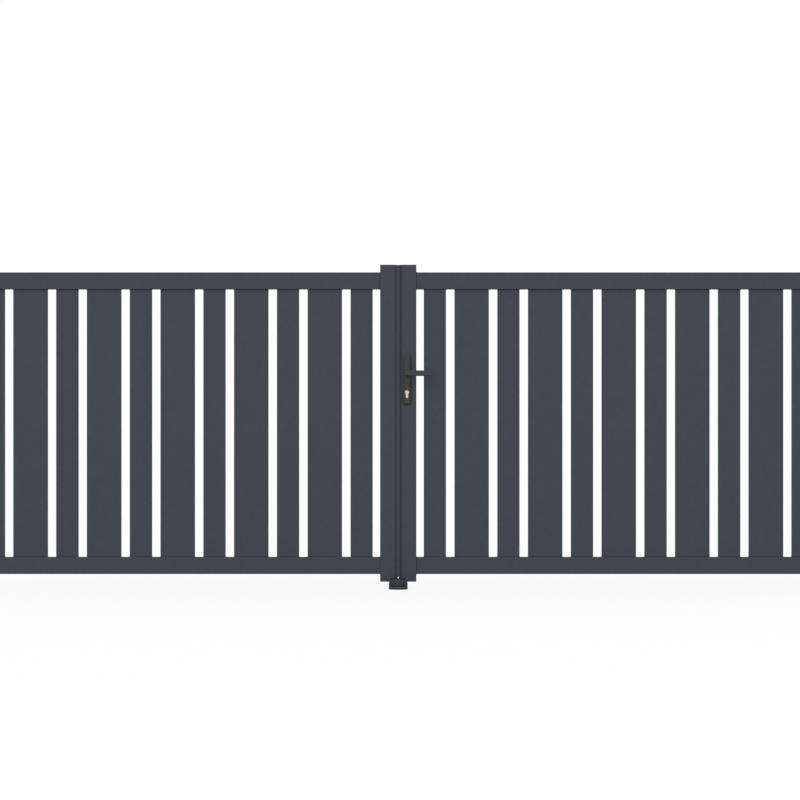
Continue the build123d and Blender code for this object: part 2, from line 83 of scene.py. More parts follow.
left_stile_low, left_stile_high = corners("left_meeting_stile")
right_stile_low = corners("right_meeting_stile")[0]
gate_middle = (left_stile_high[0] + right_stile_low[0]) / 2
caps_low, caps_high = corners("left_stile_caps")
leaf_bottom, leaf_top = caps_low[2], caps_high[2]
rail_face = corners("left_top_rail")[0][1]
print("gate middle", round(gate_middle, 4), "leaf from", round(leaf_bottom, 3), "to", round(leaf_top, 3))

# %% [markdown]
# ## The camera
#
# The photograph is taken from straight in front, from far away, with upright lines that stay upright. So the
# camera is level and its lens is long. One pixel of the picture covers a known number of millimetres at the
# rails' street face, and that sets the lens. The gate's middle and the leaf's height in the picture set where
# the camera stands.

# %% Camera in front of the gate
PHOTO_SIDE = 800
PHOTO_MM_PER_PIXEL = 4.4175
PHOTO_GATE_MIDDLE_X = 398.25
PHOTO_LEAF_MIDDLE_Y = 423.2
CAMERA_DISTANCE = 12.5
SENSOR_WIDTH = 36.0
FARTHEST_SEEN = 200.0

pixel = PHOTO_MM_PER_PIXEL * MM
camera_data = bpy.data.cameras.new("street_camera")
camera_data.sensor_width = SENSOR_WIDTH
camera_data.lens = SENSOR_WIDTH * CAMERA_DISTANCE / (PHOTO_SIDE * pixel)
camera_data.clip_end = FARTHEST_SEEN
camera = bpy.data.objects.new("street_camera", camera_data)
bpy.context.scene.collection.objects.link(camera)
camera.location = (
    gate_middle + (PHOTO_SIDE / 2 - PHOTO_GATE_MIDDLE_X) * pixel,
    rail_face - CAMERA_DISTANCE,
    (leaf_bottom + leaf_top) / 2 + (PHOTO_LEAF_MIDDLE_Y - PHOTO_SIDE / 2) * pixel,
)
camera.rotation_euler = (np.pi / 2, 0, 0)
bpy.context.scene.camera = camera
bpy.context.scene.view_settings.view_transform = "Standard"
print("lens", round(camera_data.lens, 1), "mm, camera at", [round(v, 3) for v in camera.location])

# %% [markdown]
# ## Nodes and colours
#
# Every finish below is a small tree of shader nodes. One function adds a node with its settings and links,
# and one turns a colour as it is written on a screen into the linear numbers that Blender calculates with.

# %% Two helpers for materials
def linear(hex_colour):
    """Linear RGBA of an sRGB hex colour: divide by 12.92 near black, else the 2.4 power curve."""
    channels = np.array([int(hex_colour[i:i + 2], 16) for i in (1, 3, 5)]) / 255
    curve = np.where(channels <= 0.04045, channels / 12.92, ((channels + 0.055) / 1.055) ** 2.4)
    return (*curve.tolist(), 1.0)


def add(tree, kind, inputs=None, **settings):
    """Adds one node. Settings are its own properties; inputs are numbers or sockets to link, by name."""
    node = tree.nodes.new(kind)
    for name, value in settings.items():
        setattr(node, name, value)
    for name, value in (inputs or {}).items():
        if isinstance(value, bpy.types.NodeSocket):
            tree.links.new(value, node.inputs[name])
        else:
            node.inputs[name].default_value = value
    return node


print("a middle grey, #808080, is", round(linear("#808080")[0], 3), "in linear light")

# %% [markdown]
# ## Light, floor and background
#
# A product picture like this one has soft light from the front and a white page behind. The world gives the
# soft light, and more of it from above, so an edge that looks up is lighter than one that looks down. Rays
# that come straight from the camera, or that a glossy or clear surface sends on, see plain white instead, so
# the page stays white without throwing more light on the gate. The floor works the same way and keeps a
# little of its own shading, which is where the gate's shadow shows. A lamp above the street makes the faces
# lighter than the bevels beside them, and a weaker one lights the inside. Both are sun lamps, which light a
# long gate evenly, where a near lamp would make one end brighter than the other. Each fills a wide patch of
# the sky, so its shadows have soft edges.

# %% World, floor and lamps
HORIZON_LEVEL = 0.28
ZENITH_LEVEL = 0.80
FLOOR_LEVEL = 0.40
PAGE_SHARE_OF_FLOOR = 0.88
LIGHT_SHARE_OF_FLOOR = 0.70
LAMP_SPREAD = np.radians(60)
FLOOR_HALF_WIDTH = 60.0
FLOOR_COLOUR = "#efefef"
PAGE_COLOUR = "#ffffff"


def page_rays(tree):
    """One socket that is 1 for camera, glossy and transmission rays and 0 for the rest."""
    path = add(tree, "ShaderNodeLightPath")
    seen = add(tree, "ShaderNodeMath", {0: path.outputs["Is Camera Ray"], 1: path.outputs["Is Glossy Ray"]},
               operation="MAXIMUM")
    seen = add(tree, "ShaderNodeMath", {0: seen.outputs[0], 1: path.outputs["Is Transmission Ray"]},
               operation="MAXIMUM")
    return seen.outputs[0]


def make_world():
    """White for rays that see the page, and for the rest a grey level that rises with the ray's height."""
    world = bpy.data.worlds.new("studio")
    bpy.context.scene.world = world
    world.use_nodes = True
    tree = world.node_tree
    tree.nodes.clear()
    ray = add(tree, "ShaderNodeSeparateXYZ", {"Vector": add(tree, "ShaderNodeTexCoord").outputs["Generated"]})
    soft = add(tree, "ShaderNodeMapRange", {"Value": ray.outputs["Z"], "To Min": HORIZON_LEVEL,
                                            "To Max": ZENITH_LEVEL})
    level = add(tree, "ShaderNodeMapRange", {"Value": page_rays(tree), "To Min": soft.outputs["Result"],
                                             "To Max": 1.0})
    sky = add(tree, "ShaderNodeBackground", {"Color": linear(PAGE_COLOUR),
                                             "Strength": level.outputs["Result"]})
    add(tree, "ShaderNodeOutputWorld", {"Surface": sky.outputs["Background"]})


def make_floor():
    """A flat pale floor at ground level: it shows the white page with a faint shadow, and glows evenly."""
    reach = FLOOR_HALF_WIDTH * np.array([[-1, -1, 0], [1, -1, 0], [1, 1, 0], [-1, 1, 0]])
    mesh = bpy.data.meshes.new("floor")
    mesh.from_pydata((reach + [gate_middle, 0, 0]).tolist(), [], [[0, 1, 2, 3]])
    floor = bpy.data.objects.new("floor", mesh)
    bpy.context.scene.collection.objects.link(floor)
    material = bpy.data.materials.new("pale_floor")
    material.use_nodes = True
    tree = material.node_tree
    tree.nodes.clear()
    seen = page_rays(tree)
    share = add(tree, "ShaderNodeMapRange", {"Value": seen, "To Min": LIGHT_SHARE_OF_FLOOR,
                                             "To Max": PAGE_SHARE_OF_FLOOR})
    level = add(tree, "ShaderNodeMapRange", {"Value": seen, "To Min": FLOOR_LEVEL, "To Max": 1.0})
    matt = add(tree, "ShaderNodeBsdfDiffuse", {"Color": linear(FLOOR_COLOUR)})
    page = add(tree, "ShaderNodeEmission", {"Color": linear(PAGE_COLOUR),
                                            "Strength": level.outputs["Result"]})
    mixed = add(tree, "ShaderNodeMixShader", {0: share.outputs["Result"], 1: matt.outputs[0],
                                              2: page.outputs[0]})
    add(tree, "ShaderNodeOutputMaterial", {"Surface": mixed.outputs[0]})
    mesh.materials.append(material)
    floor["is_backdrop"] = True


def make_lamp(name, direction, strength):
    """Soft light from a wide patch of sky round a direction, the same all along the gate."""
    data = bpy.data.lights.new(name, "SUN")
    data.angle = LAMP_SPREAD
    data.energy = strength
    lamp = bpy.data.objects.new(name, data)
    bpy.context.scene.collection.objects.link(lamp)
    lamp.rotation_euler = Vector(direction).to_track_quat("Z", "Y").to_euler()


make_world()
make_floor()
make_lamp("street_lamp", direction=(-0.25, -1.0, 0.7), strength=1.3)
make_lamp("inside_lamp", direction=(0.3, 1.0, 0.9), strength=0.9)

# %% [markdown]
# ## Powder coat, lacquer, plastic and rubber
#
# The extrusions are coated with polyester powder that melts into an even satin skin. It is not a mirror and
# not chalk: a fine grain breaks up the highlight, and a wide, weak swell of the melted skin, called orange
# peel, makes long faces look a little alive. Both could be geometry, but they are at most a fifth of a
# millimetre high, so a bump in the material is the right tool. The grain of a real coat is about 0.3 mm wide
# and would never show at this distance, so it is drawn coarser and deeper. Lacquer, moulded plastic and
# rubber are the same kind of skin with other numbers.

# %% A function for coated, cast and moulded surfaces
SKIN_ROUGHNESS_DRIFT = 0.05


def skin(name, colour, shade, roughness, specular, grain_mm, grain_depth_mm, swell_mm, swell_depth_mm):
    """A dielectric skin: its colour drifts to a second shade, and a grain and a wide swell bump it."""
    material = bpy.data.materials.new(name)
    material.use_nodes = True
    tree = material.node_tree
    tree.nodes.clear()
    place = add(tree, "ShaderNodeTexCoord").outputs["Object"]
    grain = add(tree, "ShaderNodeTexNoise", {"Vector": place, "Scale": 1 / (grain_mm * MM), "Detail": 2.0})
    swell = add(tree, "ShaderNodeTexNoise", {"Vector": place, "Scale": 1 / (swell_mm * MM), "Detail": 1.0})
    tint = add(tree, "ShaderNodeMix", {"Factor": swell.outputs["Fac"], "A": linear(colour),
                                       "B": linear(shade)}, data_type="RGBA")
    wide = add(tree, "ShaderNodeBump", {"Height": swell.outputs["Fac"], "Distance": swell_depth_mm * MM})
    fine = add(tree, "ShaderNodeBump", {"Height": grain.outputs["Fac"], "Distance": grain_depth_mm * MM,
                                        "Normal": wide.outputs["Normal"]})
    rough = add(tree, "ShaderNodeMapRange", {"Value": grain.outputs["Fac"],
                                             "To Min": roughness - SKIN_ROUGHNESS_DRIFT,
                                             "To Max": roughness + SKIN_ROUGHNESS_DRIFT})
    shader = add(tree, "ShaderNodeBsdfPrincipled", {
        "Base Color": tint.outputs["Result"], "Roughness": rough.outputs["Result"],
        "Specular IOR Level": specular, "Normal": fine.outputs["Normal"]})
    add(tree, "ShaderNodeOutputMaterial", {"Surface": shader.outputs["BSDF"]})
    return material


# Each call gives the colour and its shade, roughness, specular level, and then width and depth of the grain
# and of the swell in millimetres. The comment above a call says what the eye gets.

# An even satin skin with a soft, wide highlight and a grain that keeps a large face from looking dead.
powder_coat = skin("anthracite_powder_coat", "#3a404b", "#343a45", 0.48, 0.27, 0.9, 0.20, 24.0, 0.10)
# The coat on steel is thinner, so the hinges are smoother and shine a little more than the frame.
hinge_coat = skin("coated_steel", "#393c43", "#32353b", 0.42, 0.40, 1.0, 0.05, 14.0, 0.05)
# Lacquer on a die casting is smooth: a neutral dark grey with a calm highlight on the bevels.
handle_lacquer = skin("lacquered_die_cast", "#3f3e3f", "#383738", 0.40, 0.24, 0.8, 0.03, 9.0, 0.04)
# Paint over the skin of a sand casting stays rough, so it is matt and darker than the gate.
cast_paint = skin("painted_casting", "#293238", "#252e34", 0.62, 0.25, 2.2, 0.12, 12.0, 0.10)
# A textured mould leaves an even, matt grain on the caps, which sets them off from the coat.
moulded_cap = skin("moulded_polyamide", "#3b3f48", "#353941", 0.55, 0.40, 0.9, 0.06, 18.0, 0.05)
# Turned nylon is pale, smooth and a little waxy.
nylon = skin("turned_nylon", "#d9d6cc", "#d2cec2", 0.50, 0.45, 0.8, 0.01, 6.0, 0.01)
# Moulded rubber is nearly black and dull, so a trim reads as a dark line, the painted shade of its joint.
rubber = skin("moulded_rubber", "#242528", "#1f2022", 0.72, 0.30, 0.9, 0.03, 8.0, 0.03)
# The seal is extruded in the colour of the coat, dull and even, so the lip reads as part of its strip.
lip_rubber = skin("extruded_seal", "#3b424f", "#39404d", 0.66, 0.30, 0.9, 0.02, 30.0, 0.02)
print("skins:", [m.name for m in bpy.data.materials if m.name != "pale_floor"])

# %% [markdown]
# ## Bands of painted light and shade on the stop
#
# In the photograph the stop is darker than the gate. Bands of painted light and shade lie over its paint: the
# groove above its foot is painted dark as shade, the foot below the groove is painted lighter as a
# highlight on its bevel, its lowest edge is painted dark as shade, and its top rim is painted lighter as a
# highlight. A casting has one mesh, so the height above the ground decides which colour a point gets. A
# colour ramp with constant steps does that with one node, and a share of the paint's own colour stays in
# the mix, so a band isn't quite even.

# %% Colour of the stop by height, with painted light and shade
STOP_REACH = 40 * MM
BAND_SHARE = 0.8
# Heights in mm and colours: painted shade on the lowest edge, a painted highlight on the foot, painted shade
# in the groove, the paint's own colour, and a painted highlight on the top rim.
STOP_BANDS_AND_PAINTED_LIGHT = [(0.0, "#1e2327"), (6.5, "#48505c"), (12.5, "#121517"), (19.5, "#293238"), (37.0, "#424e57")]


def bands_and_painted_light_by_height(material, reach, bands):
    """Takes a skin's colour from a ramp over the Object coordinate Z: one flat colour from each height up."""
    tree = material.node_tree
    shader = next(node for node in tree.nodes if node.type == "BSDF_PRINCIPLED")
    place = add(tree, "ShaderNodeSeparateXYZ", {"Vector": add(tree, "ShaderNodeTexCoord").outputs["Object"]})
    share = add(tree, "ShaderNodeMath", {0: place.outputs["Z"], 1: reach}, operation="DIVIDE")
    ramp = add(tree, "ShaderNodeValToRGB", {"Fac": share.outputs[0]})
    ramp.color_ramp.interpolation = "CONSTANT"
    while len(ramp.color_ramp.elements) < len(bands):
        ramp.color_ramp.elements.new(1.0)
    for element, (height, colour) in zip(ramp.color_ramp.elements, bands):
        element.position = height * MM / reach
        element.color = linear(colour)
    own = shader.inputs["Base Color"].links[0].from_socket
    both = add(tree, "ShaderNodeMix", {"Factor": BAND_SHARE, "A": own, "B": ramp.outputs["Color"]},
               data_type="RGBA")
    tree.links.new(both.outputs["Result"], shader.inputs["Base Color"])


# The ramp paints shade and highlights into the stop's colour.
bands_and_painted_light_by_height(cast_paint, STOP_REACH, STOP_BANDS_AND_PAINTED_LIGHT)
print(cast_paint.name, "changes colour at", [height for height, colour in STOP_BANDS_AND_PAINTED_LIGHT], "mm")

# %% [markdown]
# ## Bare metals
#
# Three metals stay bare: the stainless lock plates, the brass cylinder and the zinc-plated fasteners. A metal
# has no colour of its own apart from what it reflects, so its base colour is bright and its surface does the
# work. Brushing and drawing leave fine lines one way, and a noise that is stretched that way looks like them.
# Plating has a soft mottled lustre, which a noise that isn't stretched gives.

# %% A function for bare metals
METAL_ROUGHNESS_DRIFT = 0.07


def metal(name, colour, shade, roughness, line_mm, stretch, line_depth_mm):
    """A metal whose noise has lines of a given width, stretched by a factor for each axis."""
    material = bpy.data.materials.new(name)
    material.use_nodes = True
    tree = material.node_tree
    tree.nodes.clear()
    place = add(tree, "ShaderNodeTexCoord").outputs["Object"]
    drawn = add(tree, "ShaderNodeMapping", {"Vector": place, "Scale": [1 / factor for factor in stretch]})
    lines = add(tree, "ShaderNodeTexNoise", {"Vector": drawn.outputs["Vector"], "Scale": 1 / (line_mm * MM),
                                             "Detail": 3.0})
    tint = add(tree, "ShaderNodeMix", {"Factor": lines.outputs["Fac"], "A": linear(colour),
                                       "B": linear(shade)}, data_type="RGBA")
    rough = add(tree, "ShaderNodeMapRange", {"Value": lines.outputs["Fac"],
                                             "To Min": roughness - METAL_ROUGHNESS_DRIFT,
                                             "To Max": roughness + METAL_ROUGHNESS_DRIFT})
    bump = add(tree, "ShaderNodeBump", {"Height": lines.outputs["Fac"], "Distance": line_depth_mm * MM})
    shader = add(tree, "ShaderNodeBsdfPrincipled", {
        "Base Color": tint.outputs["Result"], "Metallic": 1.0, "Roughness": rough.outputs["Result"],
        "Normal": bump.outputs["Normal"]})
    add(tree, "ShaderNodeOutputMaterial", {"Surface": shader.outputs["BSDF"]})
    return material


# Each call gives the colour and its shade, roughness, a line's width in millimetres, how far a line is
# stretched along X, Y and Z, and its depth in millimetres. Lines finer than these wouldn't show.

# Brushed upright, so the plates have a silky grey sheen with fine upright lines.
stainless = metal("brushed_stainless", "#c4c5c6", "#aeb0b2", 0.32, 0.4, (1, 1, 40), 0.01)
# Drawn through a die along its length, so the cylinder is smooth, warm and bright.
brass = metal("drawn_brass", "#dfc6ad", "#d0b598", 0.22, 0.5, (1, 30, 1), 0.01)
# Plated in a barrel, so the anchors and bolts are a cool grey with a soft mottle.
zinc = metal("zinc_plated_steel", "#b9bcc0", "#a3a6aa", 0.36, 1.5, (1, 1, 1), 0.01)
print("metals:", [m.name for m in (stainless, brass, zinc)])

# %% [markdown]
# ## Finishes on the CAD pieces
#
# The record says which material slot each node has, so a table from slot to finish dresses the whole gate.

# %% Dress the CAD nodes
FINISHES = {
    "frame_paint": powder_coat,
    "cap_plastic": moulded_cap,
    "hinge_paint": hinge_coat,
    "washer_nylon": nylon,
    "handle_paint": handle_lacquer,
    "lock_steel": stainless,
    "cylinder_brass": brass,
    "stop_paint": cast_paint,
    "buffer_rubber": rubber,
}
slot_of = {row["node"]: row["material_slot"] for row in frame["record"]["subparts"]}
for name, node in frame["nodes"].items():
    node.data.materials.clear()
    node.data.materials.append(FINISHES[slot_of[name]])
print("dressed", len(slot_of), "nodes")

# %% [markdown]
# ## Surfaces from arrays
#
# Screws, nuts, seals and weld beads are all one idea: a grid of points, where one direction follows a profile
# and the other goes round it. numpy works out all points of a grid at once. A shape that occurs many times is
# worked out once and then copied by multiplying it with a turning matrix for each place. Blender's own
# primitives and the screw modifier could make some of these, but a formula keeps every size in view.

# %% Helpers for grids of points
def grid_faces(rows, columns, ring=False):
    """Quads between neighbouring rows whose columns close; a ring also joins the last row to the first."""
    row = np.arange(rows if ring else rows - 1)[:, None]
    column = np.arange(columns)[None, :]
    above = (row + 1) % rows
    beside = (column + 1) % columns
    quads = np.stack([row * columns + column, row * columns + beside,
                      above * columns + beside, above * columns + column], axis=-1)
    return quads.reshape(-1, 4)


def facing(direction):
    """Turning matrix that takes the Z axis to a direction along X, Y or Z and keeps the other axes square."""
    towards = np.array(direction, float)
    upright = np.array([0.0, 1.0, 0.0]) if abs(towards[2]) > 0.5 else np.array([0.0, 0.0, 1.0])
    sideways = np.cross(upright, towards)
    return np.stack([sideways, np.cross(towards, sideways), towards], axis=1)


def copies(points, faces, places, turns):
    """A shape repeated at places, each with its turning matrix, as one array of points and one of faces."""
    places = np.array(places)
    moved = np.einsum("kij,nj->kni", np.array(turns), points) + places[:, None, :]
    shifted = faces[None] + (np.arange(len(places)) * len(points))[:, None, None]
    return moved.reshape(-1, 3), shifted.reshape(-1, faces.shape[1])


SMOOTH_BELOW = np.radians(32)
MERGE_DISTANCE = 1e-6


def make_piece(name, points, faces, material, body, slot):
    """Puts points and faces into a mesh, merges poles, turns faces outwards, and lets it ride on a body."""
    mesh = bpy.data.meshes.new(name)
    mesh.from_pydata(points.tolist(), [], faces.tolist())
    work = bmesh.new()
    work.from_mesh(mesh)
    bmesh.ops.remove_doubles(work, verts=work.verts, dist=MERGE_DISTANCE)
    bmesh.ops.recalc_face_normals(work, faces=work.faces)
    work.to_mesh(mesh)
    work.free()
    mesh.shade_smooth()
    mesh.set_sharp_from_angle(angle=SMOOTH_BELOW)
    mesh.materials.append(material)
    piece = bpy.data.objects.new(name, mesh)
    bpy.context.scene.collection.objects.link(piece)
    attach(piece, body)
    print(name, "has", len(mesh.polygons), "faces and rides on", body)


print("a grid of three rows and four columns has", len(grid_faces(3, 4)), "quads")

# %% [markdown]
# ## Turned and six-sided things
#
# A turned part is a radius that changes with height. A six-sided one is the same, with a radius that also
# changes with the angle: half the width over flats, divided by the cosine of the angle from the middle of a
# flat. A real nut is a hexagon cut by a cone at each end, so its radius is the smaller of the two. That one
# minimum gives the curved edges that everyone knows from nuts.

# %% Turned surfaces and hexagons
COLUMNS = 36
ANGLE = np.linspace(0, 2 * np.pi, COLUMNS, endpoint=False)
SIXTH = np.pi / 3
# The cone's rim at the end and its widest rim, as shares of the width over flats.
CONE_RIM = 0.475
CONE_REACH = 0.62
CONE_ROWS = 6


def hexagon(across_flats):
    """Radius at each angle: half the width over flats over the cosine of the angle from a flat's middle."""
    return across_flats / 2 / np.cos((ANGLE + SIXTH / 2) % SIXTH - SIXTH / 2)


def turned(profile, ring=False):
    """Surface from rows of (radius, height) in millimetres: a radius is one number or one for each angle."""
    radius = np.array([np.broadcast_to(row[0], COLUMNS) for row in profile])
    height = np.array([np.broadcast_to(row[1], COLUMNS) for row in profile])
    points = np.stack([radius * np.cos(ANGLE), radius * np.sin(ANGLE), height], axis=-1)
    return points.reshape(-1, 3) * MM, grid_faces(len(profile), COLUMNS, ring)


def bevelled_hexagon(across_flats, height, bevel_low=True):
    """Rows of a hexagon cut by a cone: the smaller of the hexagon and a rim that grows from the end."""
    outline = hexagon(across_flats)
    rim = CONE_RIM * across_flats
    depth = np.linspace(0, 1, CONE_ROWS) * (CONE_REACH * across_flats - rim) * np.tan(SIXTH / 2)
    cut = [np.minimum(outline, rim + d / np.tan(SIXTH / 2)) for d in depth]
    low = list(zip(cut, depth)) if bevel_low else [(outline, 0)]
    return low + list(zip(cut[::-1], height - depth[::-1]))


print("a 10 mm hexagon is", round(2 * hexagon(10.0).max(), 2), "mm over its corners")

# %% [markdown]
# ## Countersunk screws
#
# Stainless screws with a six-sided socket hold the hinge plates, the inside handle plate and the lock plates.
# The CAD plates have their countersunk holes, so each head lies flush in a cone that is already there. The
# profile starts at the screw's end, comes up the shank and the cone, crosses the flat head, and sinks into
# the socket until it closes on the axis.

# %% A countersunk screw with a socket
HEAD_PLAY = 0.15
# Width and depth of the socket, as shares of the head's radius.
SOCKET_FLATS = 0.6
SOCKET_LIP_FLATS = 0.68
SOCKET_DEPTH = 0.46
SOCKET_TIP_DEPTH = 0.55


def countersunk_screw(head_radius, shank_radius, depth):
    """A turned screw whose head is flush at height 0: a shank, a cone, a flat rim and a hexagon socket."""
    head = head_radius - HEAD_PLAY
    shank = shank_radius - HEAD_PLAY
    socket = hexagon(SOCKET_FLATS * head_radius)
    lip = hexagon(SOCKET_LIP_FLATS * head_radius)
    return turned([
        (0, -depth), (shank, -depth), (shank, shank - head), (head - 0.25, -0.25), (head, -0.12),
        (head - 0.1, -0.02), (head - 0.3, 0), (lip, 0), (socket, -0.2), (socket, -SOCKET_DEPTH * head_radius),
        (0, -SOCKET_TIP_DEPTH * head_radius)])


def screw_set(name, body, holes, head_radius, shank_radius, depth):
    """One piece with a screw in each hole; a hole is a place and the direction that the head faces."""
    places = [place for place, direction in holes]
    turns = [facing(direction) for place, direction in holes]
    shape = countersunk_screw(head_radius, shank_radius, depth)
    make_piece(name, *copies(*shape, places, turns), stainless, body, "lock_steel")


HINGE_SCREW = {"head_radius": 5.0, "shank_radius": 2.75, "depth": 4.9}
print("a hinge screw has", len(countersunk_screw(**HINGE_SCREW)[1]), "faces before its poles are merged")

# %% Screws in the hinge plates
HINGE_PLATE = 5 * MM
# Which way along X the gate's middle lies from each post.
INWARD = {"left": 1, "right": -1}
BRACKET_ROWS = np.array([(0, 43), (0, 21), (0, -21), (0, -43)]) * MM
KNUCKLE_ROWS = np.array([(-9.5, 43), (-9.5, 21), (0, -21), (0, -43)]) * MM


def hinge_holes(side, half, towards, rows):
    """Holes in one half of a side's hinges; its plate is at the end of the box behind the heads."""
    holes = []
    for level in ("lower", "upper"):
        low, high = corners(f"{side}_{level}_hinge_{half}")
        face = low[0] + HINGE_PLATE if towards > 0 else high[0] - HINGE_PLATE
        middle = (low + high) / 2
        holes += [((face, middle[1] + along, middle[2] + up), (towards, 0, 0)) for along, up in rows]
    return holes


bracket_holes = []
for side, inward in INWARD.items():
    bracket_holes += hinge_holes(side, "bracket", inward, BRACKET_ROWS)
screw_set("bracket_screws", "posts", bracket_holes, **HINGE_SCREW)
for side, inward in INWARD.items():
    knuckle_holes = hinge_holes(side, "knuckle", -inward, KNUCKLE_ROWS)
    screw_set(f"{side}_knuckle_screws", f"{side}_leaf", knuckle_holes, **HINGE_SCREW)

# %% Screws in the lock plates and the inside handle plate
FACEPLATE = 2.5 * MM
FACEPLATE_INSET = 14 * MM
HANDLE_INSET = 14 * MM


def end_holes(node, inset, place, direction):
    """Two holes, one near each end of an upright plate, at a given X and Y."""
    low, high = corners(node)
    return [((*place, low[2] + inset), direction), ((*place, high[2] - inset), direction)]


strike_face = corners("strike_plate")[1][0]
strike_holes = end_holes("strike_plate", FACEPLATE_INSET, (strike_face, 0), (1, 0, 0))
lock_holes = end_holes("lock_case", FACEPLATE_INSET, (right_stile_low[0] - FACEPLATE, 0), (-1, 0, 0))
plate_low, plate_high = corners("back_handle_plate")
lever_x = (plate_low[0] + plate_high[0]) / 2
handle_holes = end_holes("back_handle_plate", HANDLE_INSET, (lever_x, plate_high[1]), (0, 1, 0))
screw_set("strike_screws", "left_leaf", strike_holes, head_radius=4.0, shank_radius=2.25, depth=1.9)
screw_set("lock_screws", "right_leaf", lock_holes, head_radius=4.0, shank_radius=2.25, depth=2.4)
screw_set("handle_screws", "right_leaf", handle_holes, head_radius=4.25, shank_radius=2.5, depth=10.5)

# %% [markdown]
# ## Anchors and bolts
#
# The posts stand on foot plates that four anchors hold down, each with a washer and a nut on a threaded stud,
# and two bolts hold the stop. A thread is a wave that climbs by one pitch in each turn: its radius depends on
# the height along the stud less the angle's share of a turn. That makes a real helix with no modifier. Nuts
# and studs are low ones, because the foot of an open leaf passes above them.

# %% Washers, nuts, studs and bolt heads
# Depth of a thread as a share of its pitch, and of a bore's chamfer as a share of the bore's radius.
THREAD_DEPTH = 0.61
BORE_CHAMFER = 0.1
ROWS_PER_PITCH = 8


def washer(hole, outer, thickness, edge):
    """Rows round the section of a flat washer with its edges broken."""
    return turned([
        (hole, edge), (hole + edge, 0), (outer - edge, 0), (outer, edge), (outer, thickness - edge),
        (outer - edge, thickness), (hole + edge, thickness), (hole, thickness - edge)], ring=True)


def nut(across_flats, height, bore):
    """A hexagon with a cone at each end, and a bore with a chamfer at each end."""
    mouth = (1 + BORE_CHAMFER) * bore
    chamfer = BORE_CHAMFER * bore
    bore_rows = [(mouth, height), (bore, height - chamfer), (bore, chamfer), (mouth, 0)]
    return turned(bevelled_hexagon(across_flats, height) + bore_rows, ring=True)


def bolt_head(across_flats, height):
    """A hexagon with a cone at its top, closed on the axis above and below."""
    return turned([(0, 0)] + bevelled_hexagon(across_flats, height, bevel_low=False) + [(0, height)])


def stud(radius, pitch, length):
    """Thread: the radius less a triangle wave of the height in pitches less the angle's share of a turn."""
    height = np.arange(0, length, pitch / ROWS_PER_PITCH)[:, None]
    wave = np.abs(2 * ((height / pitch - ANGLE / (2 * np.pi)) % 1) - 1)
    thread = radius - THREAD_DEPTH * pitch * wave
    point = radius - THREAD_DEPTH * pitch + (length - height)
    rows = zip(np.minimum(thread, point), height[:, 0])
    return turned([(0, 0), *rows, (radius - THREAD_DEPTH * pitch, length), (0, length)])


def joined(*shapes):
    """Several shapes at their heights in millimetres as one: points in a row, faces counted on."""
    starts = np.cumsum([0] + [len(points) for height, (points, faces) in shapes[:-1]])
    points = np.vstack([points + [0, 0, height * MM] for height, (points, faces) in shapes])
    return points, np.vstack([faces + first for first, (height, (points, faces)) in zip(starts, shapes)])


def spun(angle):
    """Turning matrix about the Z axis."""
    return np.array([[np.cos(angle), -np.sin(angle), 0], [np.sin(angle), np.cos(angle), 0], [0, 0, 1]])


ANCHOR_WASHER = {"hole": 6.5, "outer": 12.0, "thickness": 2.5, "edge": 0.35}
ANCHOR_NUT = {"across_flats": 18.0, "height": 8.0, "bore": 5.9}
ANCHOR_STUD = {"radius": 6.0, "pitch": 1.75, "length": 4.6}
STUD_START = 7.6
BOLT_WASHER = {"hole": 5.3, "outer": 10.0, "thickness": 2.0, "edge": 0.3}
BOLT_HEAD = {"across_flats": 16.0, "height": 6.4}
print("an anchor's stud ends", STUD_START + ANCHOR_STUD["length"], "mm above its foot plate")

# %% Anchors on the post feet and bolts on the stop
ANCHOR_INSET = 20 * MM
BOLT_HALF_SPACING = 20 * MM
BOLT_FROM_BACK = 24 * MM
STOP_BASE = 14.5 * MM
# A fitter leaves nuts at any angle: radians from one nut to the next, and of each bolt.
NUT_TURN = 0.61
BOLT_TURNS = (0.3, 1.1)

anchor = joined((0, washer(**ANCHOR_WASHER)), (ANCHOR_WASHER["thickness"], nut(**ANCHOR_NUT)),
                (STUD_START, stud(**ANCHOR_STUD)))
anchor_places = []
for side in ("left", "right"):
    low, high = corners(f"{side}_post_base_plate")
    anchor_places += [(x, y, high[2]) for x in (low[0] + ANCHOR_INSET, high[0] - ANCHOR_INSET)
                      for y in (low[1] + ANCHOR_INSET, high[1] - ANCHOR_INSET)]
anchor_turns = [spun(NUT_TURN * index) for index in range(len(anchor_places))]
make_piece("post_anchors", *copies(*anchor, anchor_places, anchor_turns), zinc, "posts", "lock_steel")

bolt = joined((0, washer(**BOLT_WASHER)), (BOLT_WASHER["thickness"], bolt_head(**BOLT_HEAD)))
bolt_y = corners("floor_stop")[1][1] - BOLT_FROM_BACK
bolt_places = [(gate_middle + sign * BOLT_HALF_SPACING, bolt_y, STOP_BASE) for sign in (-1, 1)]
bolt_turns = [spun(turn) for turn in BOLT_TURNS]
make_piece("stop_bolts", *copies(*bolt, bolt_places, bolt_turns), zinc, "posts", "lock_steel")

# %% [markdown]
# ## Weld beads on the post feet
#
# Each post is welded to its foot plate all the way round, and the coat goes over the weld. A bead is a
# section carried along a path: the path is the square of the post with its round corners, and the section is
# a fillet that bulges a little. A weld grows in drops, so its size rises and falls along the path. The drops
# lag in the middle of the bead, which gives the crescents that a welder leaves.

# %% A path with round corners and the bead along it
CORNER_POINTS = 7
POST_CORNER = 4 * MM
BEAD_STEP = 0.7 * MM
BEAD_ROWS = 9
BEAD_LEG = 5 * MM
DROP_LENGTH = 2.8 * MM
ROOT = -0.2 * MM
# Bulge and drop height are shares of the leg, and the lag is a share of a drop's length.
BEAD_BULGE = 0.16
DROP_HEIGHT = 0.09
DROP_LAG = 0.35


